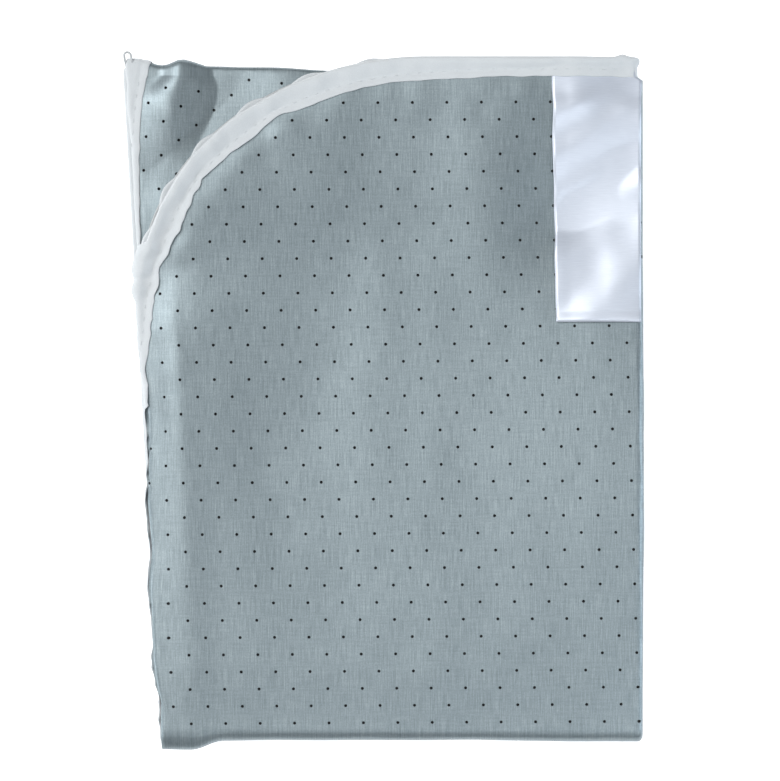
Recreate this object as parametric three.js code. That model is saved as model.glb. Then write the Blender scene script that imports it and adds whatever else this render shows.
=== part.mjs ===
// Ironing board cover, as it lies folded: halved along its length, then pleated across into four panels.
// The cloth, its pad, the edge binding and the drawcord in the binding are worked out flat and then folded.
// Millimetres, +Z up. +Y points to the tail (square) end of the cover, +X to the lengthwise fold.
import * as THREE from 'three';

// Layers of one leaf, and the room left between them
const clothThickness = 0.45;
const padThickness = 1.3;
const tapeThickness = 0.3;
const cordDiameter = 1.3;
const cordPlay = 0.2;
const layerGap = 0.1;
const leafGap = 0.2;
const panelGap = 0.4;
const seamGap = 0.1;

// Plan of the cover: how far its edge reaches from the lengthwise fold, and the lengths between the folds
const tailReach = 215.6;
const firstFoldReach = 205.8;
const middleFoldReach = 222;
const lastFoldReach = 195;
const foldSpacing = 281.9;
const tailOverhang = 7.6;
const noseSetback = 0.5;
const tailCornerAcross = 125;
const tailCornerAlong = 105;
const leafSlip = 4;
const noseTipFlat = 20;

// Edge binding and what ends at it
const bindingWidth = 11;
const clothEdgeGap = 0.4;
const padEdgeGap = 0.8;

// Label sewn to the tail end
const labelWidth = 38.5;
const labelLength = 103;
const labelThickness = 0.25;
const labelOverFold = 1.2;
const labelSeamGap = 0.3;

// Slack loop of the drawcord at the middle fold
const loopWidth = 3.4;
const loopReach = 11;
const loopFoot = 0.5;

// Facets
const bendSteps = 5;
const sideSteps = 3;
const cornerSteps = 10;
const foldSteps = 3;
const casingSteps = 4;
const cordSides = 8;
const loopSteps = 8;

// Depths are measured outwards from the middle of a doubled strip
const casingDepth = cordDiameter + 2 * cordPlay + 2 * tapeThickness;
const layeredDepth = padThickness + clothThickness + tapeThickness + 2 * layerGap;
const innerDepth = leafGap / 2;
const faceDepth = innerDepth + Math.max(casingDepth, layeredDepth);
const clothOuter = faceDepth - tapeThickness - layerGap;
const clothInner = clothOuter - clothThickness;
const padOuter = clothInner - layerGap;
const padInner = padOuter - padThickness;
const casingRadius = (faceDepth - innerDepth) / 2;
const casingMiddle = (faceDepth + innerDepth) / 2;
const pitch = 2 * faceDepth + panelGap;

// Girths and lengths that the bends take up
const quarterTurn = Math.PI / 2;
const foldBend = quarterTurn * (clothOuter + clothInner) / 2;
const crossBend = quarterTurn * pitch / 2;

// The strip lies between two bends, with the axis of its lengthwise fold on x = 0
const topBend = foldSpacing / 2;
const bottomBend = -foldSpacing / 2;
const tailEnd = topBend + tailOverhang;
const noseEnd = topBend - noseSetback;

const silver = { color: 0x98a7ad, roughness: 0.5, metalness: 0.45 };
const felt = { color: 0x2b2d2f, roughness: 0.95, metalness: 0 };
const whiteTape = { color: 0xe6e9ea, roughness: 0.85, metalness: 0 };
const greyCord = { color: 0xc9cccd, roughness: 0.8, metalness: 0 };
const satin = { color: 0xdde3ea, roughness: 0.35, metalness: 0 };

// Panels from the bottom of the pile to the top. A turn of 1 bends an end up to the panel above, -1 down.
const nose = { level: 0, bottomTurn: 1, topTurn: 0, bottomReach: lastFoldReach };
const fore = { level: 1, bottomTurn: -1, topTurn: 1, bottomReach: lastFoldReach, topReach: middleFoldReach };
const rear = { level: 2, bottomTurn: 1, topTurn: -1, bottomReach: firstFoldReach, topReach: middleFoldReach };
const tail = { level: 3, bottomTurn: -1, topTurn: 0, bottomReach: firstFoldReach };

// Rounded free ends, as a quarter ellipse between the side and the square end. The leaves slip a little.
nose.end = () => ({
  side: lastFoldReach,
  across: lastFoldReach - noseTipFlat,
  rise: noseEnd - bottomBend,
  tip: noseEnd,
});
tail.end = (leaf) => ({
  side: tailReach,
  across: tailCornerAcross - (leaf < 0 ? leafSlip : 0),
  rise: tailCornerAlong - (leaf < 0 ? leafSlip : 0),
  tip: tailEnd,
});

function panelMiddle(panel) {
  return faceDepth + panel.level * pitch;
}

// Folds a point of the flat cover. Girth runs from the lengthwise fold, positive on the upper leaf.
function place(panel, along, girth, depth) {
  const halving = THREE.MathUtils.clamp(girth / foldBend, -1, 1) * quarterTurn;
  const beyond = Math.max(Math.abs(girth) - foldBend, 0);
  const x = depth * Math.cos(halving) - beyond;
  const lift = depth * Math.sin(halving);
  const atTop = along > topBend && panel.topTurn !== 0;
  const atBottom = along < bottomBend && panel.bottomTurn !== 0;
  if (!atTop && !atBottom) {
    return new THREE.Vector3(x, along, panelMiddle(panel) + lift);
  }
  const turn = atTop ? panel.topTurn : panel.bottomTurn;
  const bend = atTop ? topBend : bottomBend;
  const outward = atTop ? 1 : -1;
  const angle = Math.abs(along - bend) / crossBend * quarterTurn;
  const radius = pitch / 2 - turn * lift;
  const rise = Math.max(radius * Math.cos(angle), seamGap);
  const y = bend + outward * radius * Math.sin(angle);
  return new THREE.Vector3(x, y, panelMiddle(panel) + turn * (pitch / 2 - rise));
}

// A closed solid through thin strip sections, each an outer and an inner row of points
function loftStrip(sections) {
  const count = sections[0].outer.length;
  const positions = [];
  for (const section of sections) {
    for (const point of [...section.outer, ...section.inner]) {
      positions.push(point.x, point.y, point.z);
    }
  }
  const faces = [];
  const quad = (a, b, c, d) => faces.push([a, b, c], [a, c, d]);
  const outer = (i, j) => i * 2 * count + j;
  const inner = (i, j) => outer(i, j) + count;
  const end = sections.length - 1;
  const edge = count - 1;
  for (let i = 0; i < end; i += 1) {
    for (let j = 0; j < edge; j += 1) {
      quad(outer(i, j), outer(i, j + 1), outer(i + 1, j + 1), outer(i + 1, j));
      quad(inner(i, j), inner(i + 1, j), inner(i + 1, j + 1), inner(i, j + 1));
    }
    quad(outer(i, 0), outer(i + 1, 0), inner(i + 1, 0), inner(i, 0));
    quad(outer(i, edge), inner(i, edge), inner(i + 1, edge), outer(i + 1, edge));
  }
  for (let j = 0; j < edge; j += 1) {
    quad(outer(0, j), inner(0, j), inner(0, j + 1), outer(0, j + 1));
    quad(outer(end, j), outer(end, j + 1), inner(end, j + 1), inner(end, j));
  }
  const corner = (index) => new THREE.Vector3().fromArray(positions, index * 3);
  const volume = faces.reduce((sum, [a, b, c]) => sum + corner(a).dot(corner(b).cross(corner(c))), 0);
  const outward = volume > 0 ? faces : faces.map(([a, b, c]) => [a, c, b]);
  const geometry = new THREE.BufferGeometry();
  geometry.setAttribute('position', new THREE.Float32BufferAttribute(positions, 3));
  geometry.setIndex(outward.flat());
  geometry.computeVertexNormals();
  return geometry;
}

// Evenly spaced values from the first to the last, both kept
function spaced(first, last, steps) {
  return Array.from({ length: steps + 1 }, (_, i) => first + (last - first) * i / steps);
}

// Girths across the lengthwise fold, from the upper leaf to the lower
const foldGirths = spaced(foldBend, -foldBend, 2 * foldSteps);
const bottomAlongs = spaced(bottomBend - crossBend, bottomBend, bendSteps);
const topAlongs = spaced(topBend, topBend + crossBend, bendSteps);

// Reach of one leaf's edge at a place along the panel, drawn in from the binding's outer edge
function reachAt(panel, leaf, along, inset) {
  if (!panel.end) {
    const share = THREE.MathUtils.clamp((along - bottomBend) / foldSpacing, 0, 1);
    return THREE.MathUtils.lerp(panel.bottomReach, panel.topReach, share) - inset;
  }
  const { side, across, rise, tip } = panel.end(leaf);
  const cornerStart = tip - rise;
  if (along > cornerStart) {
    const share = Math.min((along - cornerStart) / (rise - inset), 1);
    return side - across + (across - inset) * Math.sqrt(1 - share * share);
  }
  const sideLength = cornerStart - bottomBend;
  const share = sideLength > 0 ? THREE.MathUtils.clamp((along - bottomBend) / sideLength, 0, 1) : 0;
  return THREE.MathUtils.lerp(panel.bottomReach, side, share) - inset;
}

// Places along a panel where its sheets get a section
function sheetAlongs(panel, inset) {
  if (!panel.end) {
    return [...bottomAlongs, ...topAlongs];
  }
  const { rise, tip } = panel.end(1);
  const cornerStart = tip - rise;
  const side = cornerStart > bottomBend ? spaced(bottomBend, cornerStart, sideSteps).slice(1) : [];
  const angles = spaced(0, quarterTurn, cornerSteps).slice(1);
  return [...bottomAlongs, ...side, ...angles.map((angle) => cornerStart + (rise - inset) * Math.sin(angle))];
}

// A sheet over both leaves of a panel, between two depths
function foldedSheet(panel, inset, innerDepthOfSheet, outerDepthOfSheet) {
  const sections = sheetAlongs(panel, inset).map((along) => {
    const upper = foldBend + reachAt(panel, 1, along, inset);
    const lower = foldBend + reachAt(panel, -1, along, inset);
    const girths = [upper, ...foldGirths, -lower];
    return {
      outer: girths.map((girth) => place(panel, along, girth, outerDepthOfSheet)),
      inner: girths.map((girth) => place(panel, along, girth, innerDepthOfSheet)),
    };
  });
  return loftStrip(sections);
}

// Edge of one leaf from the bottom fold onwards, with the direction into the leaf at each point
function leafEdge(panel, leaf) {
  const point = (along, reach, inAlong, inGirth) => ({
    along,
    girth: leaf * (foldBend + reach),
    inAlong,
    inGirth: leaf * inGirth,
  });
  const straight = (along) => point(along, reachAt(panel, leaf, along, 0), 0, -1);
  if (!panel.end) {
    return [...bottomAlongs, ...topAlongs].map(straight);
  }
  const { side, across, rise, tip } = panel.end(leaf);
  const cornerStart = tip - rise;
  const sideAlongs = cornerStart > bottomBend ? spaced(bottomBend, cornerStart, sideSteps).slice(1) : [];
  const corner = spaced(0, quarterTurn, cornerSteps).slice(1).map((angle) => {
    const normal = new THREE.Vector2(Math.cos(angle) / across, Math.sin(angle) / rise).normalize();
    const along = cornerStart + rise * Math.sin(angle);
    return point(along, side - across + across * Math.cos(angle), -normal.y, -normal.x);
  });
  return [...[...bottomAlongs, ...sideAlongs].map(straight), ...corner];
}

// Edge round both leaves of an end panel, over the lengthwise fold at the tip
function endEdge(panel) {
  const { tip } = panel.end(1);
  const overFold = foldGirths.map((girth) => ({ along: tip, girth, inAlong: -1, inGirth: 0 }));
  return [...leafEdge(panel, 1), ...overFold, ...leafEdge(panel, -1).reverse()];
}

// Sweeps a strip section along an edge. A section point is its distance into the leaf and its depth.
function sweepEdge(panel, edge, section) {
  const row = (station, points) => points.map(({ inwards, depth }) => {
    const along = station.along + inwards * station.inAlong;
    const girth = station.girth + inwards * station.inGirth;
    return place(panel, along, girth, depth);
  });
  return loftStrip(edge.map((station) => ({
    outer: row(station, section.outer),
    inner: row(station, section.inner),
  })));
}

// Half round of the casing, from the face of the leaf to its inside
function casingArc(radius) {
  return spaced(quarterTurn, 3 * quarterTurn, casingSteps).map((angle) => ({
    inwards: casingRadius + radius * Math.cos(angle),
    depth: casingMiddle + radius * Math.sin(angle),
  }));
}

// Tape folded over the edge: a casing for the cord, and two arms that close on the cloth
const bindingSection = {
  outer: [
    { inwards: bindingWidth, depth: faceDepth },
    ...casingArc(casingRadius),
    { inwards: bindingWidth, depth: padOuter - tapeThickness },
  ],
  inner: [
    { inwards: bindingWidth, depth: faceDepth - tapeThickness },
    ...casingArc(casingRadius - tapeThickness),
    { inwards: bindingWidth, depth: padOuter },
  ],
};

// Points of the cord's round, in two halves
function cordHalf(first, step) {
  return spaced(0, cordSides / 2 - 1, cordSides / 2 - 1).map((index) => {
    const angle = 2 * Math.PI * (first + step * index + 0.5) / cordSides;
    return {
      inwards: casingRadius + cordDiameter / 2 * Math.cos(angle),
      depth: casingMiddle + cordDiameter / 2 * Math.sin(angle),
    };
  });
}

const cordSection = { outer: cordHalf(0, 1), inner: cordHalf(cordSides - 1, -1) };

function addPiece(group, name, geometry, look) {
  const mesh = new THREE.Mesh(geometry, new THREE.MeshStandardMaterial(look));
  mesh.name = name;
  group.add(mesh);
}

// Cloth and pad of one panel. They end inside the binding.
function addSheets(group, name, panel) {
  const clothInset = 2 * casingRadius + clothEdgeGap;
  const padInset = bindingWidth + padEdgeGap;
  addPiece(group, `${name}_cloth`, foldedSheet(panel, clothInset, clothInner, clothOuter), silver);
  addPiece(group, `${name}_pad`, foldedSheet(panel, padInset, padInner, padOuter), felt);
}

// Binding and drawcord along one edge
function addEdge(group, name, leafName, panel, edge) {
  addPiece(group, `${name}_binding${leafName}`, sweepEdge(panel, edge, bindingSection), whiteTape);
  addPiece(group, `${name}_drawcord${leafName}`, sweepEdge(panel, edge, cordSection), greyCord);
}

function addEndPanel(group, name, panel) {
  addSheets(group, name, panel);
  addEdge(group, name, '', panel, endEdge(panel));
}

function addMiddlePanel(group, name, panel) {
  addSheets(group, name, panel);
  addEdge(group, name, '_upper', panel, leafEdge(panel, 1));
  addEdge(group, name, '_lower', panel, leafEdge(panel, -1));
}

// Label, hanging from the inner edge of the tail end's binding
function addLabel(group) {
  const right = labelOverFold;
  const top = tailEnd - bindingWidth - labelSeamGap;
  const underside = panelMiddle(tail) + clothOuter + layerGap;
  const row = (y, z) => [new THREE.Vector3(right, y, z), new THREE.Vector3(right - labelWidth, y, z)];
  const sections = [top, top - labelLength].map((y) => ({
    outer: row(y, underside + labelThickness),
    inner: row(y, underside),
  }));
  addPiece(group, 'label', loftStrip(sections), satin);
}

// Slack loop of drawcord, lying out over the middle fold from the rear panel's upper casing
function addDrawcordLoop(group) {
  const radius = (loopWidth - cordDiameter) / 2;
  const left = cordDiameter / 2 - middleFoldReach;
  const height = panelMiddle(rear) + faceDepth + layerGap + cordDiameter / 2;
  const foot = topBend - loopFoot;
  const crown = foot + loopReach - radius - cordDiameter / 2;
  const arc = spaced(0, Math.PI, loopSteps).map((angle) => ({
    x: left + radius - radius * Math.cos(angle),
    y: crown + radius * Math.sin(angle),
    outX: -Math.cos(angle),
    outY: Math.sin(angle),
  }));
  const leftFoot = { ...arc[0], y: foot };
  const rightFoot = { ...arc[loopSteps], y: foot };
  const row = (station, points) => points.map(({ inwards, depth }) => new THREE.Vector3(
    station.x + (inwards - casingRadius) * station.outX,
    station.y + (inwards - casingRadius) * station.outY,
    height + depth - casingMiddle,
  ));
  const sections = [leftFoot, ...arc, rightFoot].map((station) => ({
    outer: row(station, cordSection.outer),
    inner: row(station, cordSection.inner),
  }));
  addPiece(group, 'drawcord_loop', loftStrip(sections), greyCord);
}

const cover = new THREE.Group();
cover.name = 'ironing_board_cover';
addEndPanel(cover, 'nose', nose);
addMiddlePanel(cover, 'fore', fore);
addMiddlePanel(cover, 'rear', rear);
addEndPanel(cover, 'tail', tail);
addLabel(cover);
addDrawcordLoop(cover);

// The origin is under the middle of the pile, on the surface that it lies on
const box = new THREE.Box3().setFromObject(cover);
const middle = box.getCenter(new THREE.Vector3());
cover.position.set(-middle.x, -middle.y, -box.min.z);

export default cover;
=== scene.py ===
import math
from collections import namedtuple

import bmesh
import bpy
from mathutils import Matrix, Vector, noise


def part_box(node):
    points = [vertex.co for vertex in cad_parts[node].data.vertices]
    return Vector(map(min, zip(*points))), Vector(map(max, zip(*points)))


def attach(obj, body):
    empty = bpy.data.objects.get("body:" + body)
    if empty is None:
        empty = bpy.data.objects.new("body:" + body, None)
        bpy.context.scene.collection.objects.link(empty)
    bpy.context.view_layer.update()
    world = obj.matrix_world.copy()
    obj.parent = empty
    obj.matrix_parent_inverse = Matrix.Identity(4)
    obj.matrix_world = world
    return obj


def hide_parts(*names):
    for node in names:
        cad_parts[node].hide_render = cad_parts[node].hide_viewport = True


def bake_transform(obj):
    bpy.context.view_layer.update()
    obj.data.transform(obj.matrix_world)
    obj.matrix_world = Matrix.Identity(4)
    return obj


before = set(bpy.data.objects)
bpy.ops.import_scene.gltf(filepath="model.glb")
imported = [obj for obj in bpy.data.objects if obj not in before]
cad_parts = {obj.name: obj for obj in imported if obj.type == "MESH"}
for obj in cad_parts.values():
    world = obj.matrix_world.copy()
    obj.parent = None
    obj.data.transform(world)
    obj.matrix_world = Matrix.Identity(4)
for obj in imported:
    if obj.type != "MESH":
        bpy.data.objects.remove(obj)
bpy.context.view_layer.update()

scene = bpy.context.scene
mm = 0.001
weld = 0.02 * mm  # points closer than this are one
quarterTurn = math.pi / 2
print("frame loaded:", len(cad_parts), "nodes")


def clamp(value, low, high):
    return max(low, min(high, value))


def mix(low, high, share):
    return low + (high - low) * share


def ease(start, end, value):
    share = clamp((value - start) / (end - start), 0, 1)
    return share * share * (3 - 2 * share)


def alongTable(table, value):  # straight lines between (place, amount) pairs, places rising
    if value <= table[0][0]:
        return table[0][1]
    for (lowPlace, lowAmount), (highPlace, highAmount) in zip(table, table[1:]):
        if value <= highPlace:
            return mix(lowAmount, highAmount, (value - lowPlace) / (highPlace - lowPlace))
    return table[-1][1]


def ripple(x, y, size, seed):
    return noise.noise(Vector((x / size, y / size, seed)))


def rippled(row, x, along):  # row is height, stretch, size, seed
    height, stretch, size, seed = row
    return height * ripple(x, along * stretch, size, seed)


def waves(rows, path):  # each row is share, lane, size, seed
    return sum(share * ripple(path, lane, size, seed) for share, lane, size, seed in rows)


def gridPlace(spot, across, along):  # column and row of a point of a create_grid of size 1
    return round((spot.x + 1) / 2 * across), round((spot.y + 1) / 2 * along)


# Depths of the layers in one leaf, outwards from the middle of a doubled panel
layers = {
    "face": 2.4 * mm,
    "clothOuter": 2.0 * mm,
    "clothThick": 0.45 * mm,
    "padOuter": 1.45 * mm,
    "padThick": 1.3 * mm,
    "tapeThick": 0.3 * mm,
    "casingRadius": 1.15 * mm,
    "casingMiddle": 1.25 * mm,
    "cordRadius": 0.65 * mm,
    "pitch": 5.2 * mm,  # from one doubled panel to the next
    "handOver": 0.04 * mm,  # half the height in which a cross fold changes body
}
plan = {
    "tailPast": 7.6 * mm,  # the tail ends past the top fold, the nose short of it
    "noseShort": 0.5 * mm,
    "bindingWidth": 11 * mm,
    "clothInset": 2.7 * mm,  # cloth and pad end so far inside the binding
    "padInset": 11.8 * mm,
}
foldBend = 2.788 * mm  # cloth in a quarter turn of the lengthwise fold
crossBend = 4.084 * mm  # and of a cross fold
foldReach = layers["pitch"] / 2 + layers["clothOuter"]
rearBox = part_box("rear_cloth")
foldAxis = rearBox[1].x - layers["clothOuter"]
topBend = rearBox[1].y - foldReach
bottomBend = rearBox[0].y + foldReach
tailEnd = topBend + plan["tailPast"]
noseEnd = topBend - plan["noseShort"]

# roll is the end that turns down to the panel below: 1 top, -1 bottom, 0 none
panels = {
    "nose": {"body": "nose_panel", "level": 0, "roll": 0, "bottom": 195 * mm, "cells": 4,
             "end": {"side": 195 * mm, "across": 175 * mm, "tip": noseEnd, "slip": 0,
                     "rise": noseEnd - bottomBend}},
    "fore": {"body": "fore_panel", "below": "nose_panel", "level": 1, "roll": -1,
             "bottom": 195 * mm, "top": 222 * mm, "cells": 4},
    "rear": {"body": "rear_panel", "below": "fore_panel", "level": 2, "roll": 1,
             "bottom": 205.8 * mm, "top": 222 * mm, "cells": 6},
    "tail": {"body": "tail_panel", "below": "rear_panel", "level": 3, "roll": -1,
             "bottom": 205.8 * mm, "cells": 8,
             "end": {"side": 215.6 * mm, "across": 125 * mm, "tip": tailEnd, "slip": 4 * mm,
                     "rise": 105 * mm}},
}
# The rear panel's upper leaf is drawn in a little where it shows
waist = {"upper": 1.5 * mm, "upperSpan": (0.142, 0.137), "lower": 0.7 * mm, "lowerSpan": (0.125, 0.108),
         "fade": (0.0, 0.03)}


def bendOf(name):  # where a panel starts to turn down
    return topBend if panels[name]["roll"] > 0 else bottomBend


# Outline of a leaf: how far a flat point lies inside it, and the way out
def outline(name, leaf, along, reach):
    panel = panels[name]
    if "end" not in panel:
        share = clamp((along - bottomBend) / (topBend - bottomBend), 0, 1)
        edge = mix(panel["bottom"], panel["top"], share)
        if name == "rear" and leaf > 0:
            drawn = waist["upper"] * ease(*waist["upperSpan"], along)
            drawn += waist["lower"] * ease(*waist["lowerSpan"], along)
            edge -= drawn * ease(*waist["fade"], along)
        return edge - reach, 1, 0
    end = panel["end"]
    slip = end["slip"] if leaf < 0 else 0
    across = end["across"] - slip
    rise = end["rise"] - slip
    cornerStart = end["tip"] - rise
    if along <= cornerStart:
        share = clamp((along - bottomBend) / max(cornerStart - bottomBend, mm), 0, 1)
        return mix(panel["bottom"], end["side"], share) - reach, 1, 0
    u = reach - (end["side"] - across)
    v = along - cornerStart
    if u <= 0:
        return end["tip"] - along, 0, 1
    size = math.hypot(u / across, v / rise)
    slopeU = u / across ** 2
    slopeV = v / rise ** 2
    steep = math.hypot(slopeU, slopeV)
    return (1 - size) * size / steep, slopeU / steep, slopeV / steep


# Width of edge that is rolled under itself, against the place along the panel
tucked = {
    "tail": [(-0.16, 12 * mm), (-0.015, 11.4 * mm), (0.0, 10.1 * mm), (0.011, 9.2 * mm), (0.019, 7.3 * mm),
             (0.032, 5.4 * mm), (0.041, 3.9 * mm), (0.0585, 0.4 * mm), (0.066, 0)],
    "rear": [(0.03, 0), (0.055, 9.4 * mm), (0.083, 9.4 * mm), (0.0998, 8.3 * mm), (0.110, 7.4 * mm),
             (0.1205, 5.6 * mm), (0.1368, 2.4 * mm), (0.141, 0)],
}
edgeRoll = {
    "axisDepth": 1.48 * mm, "axisInside": 1.2 * mm, "neutral": 1.0 * mm,
    "press": 0.68 * mm, "flatten": 0.5,  # the part that lies under is pressed flat
    "lift": 0.7 * mm, "liftIn": (30 * mm, 8 * mm),
    "wave": 1.3 * mm, "waveTop": (50 * mm, 10 * mm), "waveFoot": -0.13,
    "waves": [(1, 0.2, 19 * mm, 3.3), (0.5, 0.7, 8 * mm, 5.1)],  # share, lane, size, seed
}
# The tail's rolled edge is drawn in at its middle and let out below it, over a band beside it
edgeDraw = {
    "band": 14 * mm,
    "path": [(-0.135, 0), (-0.104, -2.2 * mm), (-0.086, -1.6 * mm), (-0.070, 0), (-0.034, 0),
             (-0.020, 1.4 * mm), (-0.008, 2.2 * mm), (0.002, 1.4 * mm), (0.016, 0)],
}


def tuckAt(name, leaf, along):
    if leaf < 0 or name not in tucked:
        return 0
    return alongTable(tucked[name], along)


def rollUnder(name, along, reach, inside, depth):  # the edge turns down and lies back under its leaf
    axis = edgeRoll["axisInside"]
    turn = (axis - inside) / edgeRoll["neutral"]
    under = ease(quarterTurn, math.pi, turn)
    pressed = edgeRoll["press"] * under
    axisDepth = edgeRoll["axisDepth"] - pressed
    radius = (depth - axisDepth - pressed) * (1 - edgeRoll["flatten"] * under)
    if turn <= math.pi:
        newInside = axis - radius * math.sin(turn)
        newDepth = axisDepth + radius * math.cos(turn)
    else:
        newInside = axis + (turn - math.pi) * edgeRoll["neutral"]
        newDepth = axisDepth - radius
    if name == "tail":
        wave = sum(share * ripple(lane, along, size, seed) for share, lane, size, seed in edgeRoll["waves"])
        wave *= ease(*edgeRoll["waveTop"], along) * ease(bottomBend, edgeRoll["waveFoot"], along)
        newInside += edgeRoll["wave"] * wave
    return reach + inside - newInside, newDepth


# The drawn edge stands higher than the rest of the tail
gathered = {"rise": 5.6 * mm, "lower": 2.2 * mm, "to": 90 * mm, "power": 1.6,
            "span": (45 * mm, 90 * mm), "foldClear": (0, 30 * mm)}


def edgeRise(along, reach, inside):
    near = clamp(1 - inside / gathered["to"], 0, 1) ** gathered["power"]
    return near * ease(*gathered["span"], along) * ease(*gathered["foldClear"], reach)


# Swells and hollows of the tail's face
swells = [  # centre x, centre y, half widths, height
    (-0.088, 0.010, 0.036, 0.085, 2.9 * mm),
    (-0.035, 0.085, 0.045, 0.050, 1.8 * mm),
    (0.046, 0.095, 0.020, 0.040, 1.7 * mm),
    (0.082, 0.080, 0.027, 0.029, -2.5 * mm),
    (0.125, -0.030, 0.065, 0.085, 3.2 * mm),
]
trough = {"path": [(-0.060, -0.050), (-0.023, -0.042), (0.041, -0.023), (0.093, 0.007), (0.127, 0.018)],
          "depth": 0.7 * mm, "half": 25 * mm,  # its path is y, x
          "foot": (-0.07, -0.01), "top": (0.085, 0.02)}
tailFace = {
    "plump": 0.8 * mm,
    "ripple": (0.4 * mm, 0.7, 45 * mm, 3.1),  # height, stretch, size, seed
    "crinkle": (0.22 * mm, 0.6, 18 * mm, 8.4),
    "pucker": (0.45 * mm, 1, 11 * mm, 5.7),  # close to the edge, above its middle
    "puckerIn": (34 * mm, 11 * mm),
    "puckerSpan": (-20 * mm, 30 * mm),
    "padClear": 0.5 * mm,  # the pad follows, a little lower
    "padHollow": -0.1 * mm,
    "foldDrop": 0.8 * mm,  # lower towards the bottom fold
    "foldSpan": (28 * mm, -2 * mm),
    "edgeKeep": 0.15,  # and flatter at the edge
    "edgeIn": (0, 18 * mm),
    "rollSpan": (50 * mm, 20 * mm),
}


def tailRelief(along, reach, inside, fine):
    x = foldAxis - reach
    height = tailFace["plump"]
    for centreX, centreY, halfX, halfY, swell in swells:
        height += swell * math.exp(-((x - centreX) / halfX) ** 2 - ((along - centreY) / halfY) ** 2)
    aside = (x - alongTable(trough["path"], along)) / trough["half"]
    hollow = trough["depth"] * math.exp(-aside ** 2)
    height -= hollow * ease(*trough["foot"], along) * ease(*trough["top"], along)
    height += rippled(tailFace["ripple"], x, along)
    if fine:
        height += rippled(tailFace["crinkle"], x, along)
        gather = ease(*tailFace["puckerIn"], inside) * ease(*tailFace["puckerSpan"], along)
        height += gather * rippled(tailFace["pucker"], x, along)
    else:
        height = max(height - tailFace["padClear"], min(height, tailFace["padHollow"]))
    height -= tailFace["foldDrop"] * ease(*tailFace["foldSpan"], along - bottomBend)
    height *= mix(tailFace["edgeKeep"], 1, ease(*tailFace["edgeIn"], inside))
    height += gathered["rise"] * edgeRise(along, reach, inside)
    height += edgeRoll["lift"] * ease(*tailFace["rollSpan"], along) * ease(*edgeRoll["liftIn"], inside)
    return height


# A buckle in the rear panel: it swells from its foot on the left to a ridge, and falls to a sharp crease on
# the right, past which the panel tilts up to the tail's edge
buckle = {
    "foot": -0.1085, "footTop": -0.0940, "ridge": -0.0912, "ridgeTop": -0.0864, "topSpan": (0.126, 0.144),
    "height": 3.2 * mm, "sink": 0.8 * mm, "fall": 1.3,
    "span": (0.096, 0.130), "lower": 0.45, "lowerSpan": (0.134, 0.149),  # it flattens out at the fold
    "x": -0.0714, "y": 0.1316,  # where the crease reaches furthest right
    "up": 0.0154, "upIn": 0.0116,  # above that it draws in by so much
    "down": 0.0316, "downIn": 0.0136,  # and below that
}
rearTilt = {"rise": 2.7 * mm, "over": 52 * mm, "skew": 0.6, "skewFrom": 0.12,
            "underTail": (36 * mm, 8 * mm), "edgeIn": (0, 14 * mm)}
rearFace = {"span": (0.06, 0.09), "aside": (-0.02, -0.05),  # the part that shows
            "plump": 0.2 * mm, "ripple": (0.2 * mm, 1, 19 * mm, 2.2), "rippleWay": (0.8, 0.6),
            "rollFoot": (50 * mm, 70 * mm), "rollTop": (137 * mm, 120 * mm)}


def rearRelief(along, reach, inside, fine):
    x = foldAxis - reach
    shown = ease(*rearFace["span"], along) * ease(*rearFace["aside"], x)
    top = ease(*buckle["topSpan"], along)
    foot = mix(buckle["foot"], buckle["footTop"], top)
    ridge = mix(buckle["ridge"], buckle["ridgeTop"], top)
    above = max(along - buckle["y"], 0) / buckle["up"]
    below = max(buckle["y"] - along, 0) / buckle["down"]
    crease = buckle["x"] - buckle["upIn"] * above ** 2 - buckle["downIn"] * below ** 1.5
    amount = ease(*buckle["span"], along) * (1 - buckle["lower"] * ease(*buckle["lowerSpan"], along))
    fall = clamp((x - ridge) / max(crease - ridge, mm), 0, 1) ** buckle["fall"]
    sunk = buckle["sink"] * amount * fall
    skew = rearTilt["skew"] * (rearTilt["skewFrom"] - along)
    slope = clamp((x - crease + skew) / rearTilt["over"], 0, 1)
    slope *= ease(*rearTilt["underTail"], outline("tail", 1, along, reach)[0])
    height = rearTilt["rise"] * shown * slope * ease(*rearTilt["edgeIn"], inside) - sunk * (1 - slope)
    if not fine:
        return min(height, 0)
    height += buckle["height"] * amount * ease(foot, ridge, x) * (1 - fall)
    c, s = rearFace["rippleWay"]
    height += shown * (rearFace["plump"] + rippled(rearFace["ripple"], c * x + s * along, c * along - s * x))
    rolled = ease(*rearFace["rollFoot"], along) * ease(*rearFace["rollTop"], along)
    height += edgeRoll["lift"] * rolled * ease(*edgeRoll["liftIn"], inside)
    return height


reliefFade = {"turned": (1.5, 0.9), "girth": (0.2 * mm, 2.9 * mm)}  # the relief ends in the folds


# Relief and rolled edge of the leaves that show: a point's new reach and depth
def dress(name, along, girth, reach, depth, padding):
    if name == "tail" and girth < 0:
        inside = outline(name, -1, along, reach)[0]
        return reach, depth - gathered["lower"] * edgeRise(along, reach, inside)
    if girth <= 0 or name not in tucked:
        return reach, depth
    inside = outline(name, 1, along, reach)[0]
    turned = panels[name]["roll"] * (along - bendOf(name)) / crossBend
    relief = tailRelief if name == "tail" else rearRelief
    height = relief(along, reach, inside, not padding)
    depth += height * ease(*reliefFade["turned"], turned) * ease(*reliefFade["girth"], girth)
    if tuckAt(name, 1, along) > 0 and inside < edgeRoll["axisInside"]:
        reach, depth = rollUnder(name, along, reach, inside, depth)
    if name == "tail":
        reach -= alongTable(edgeDraw["path"], along) * ease(edgeDraw["band"], 0, inside)
    return reach, depth


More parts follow.
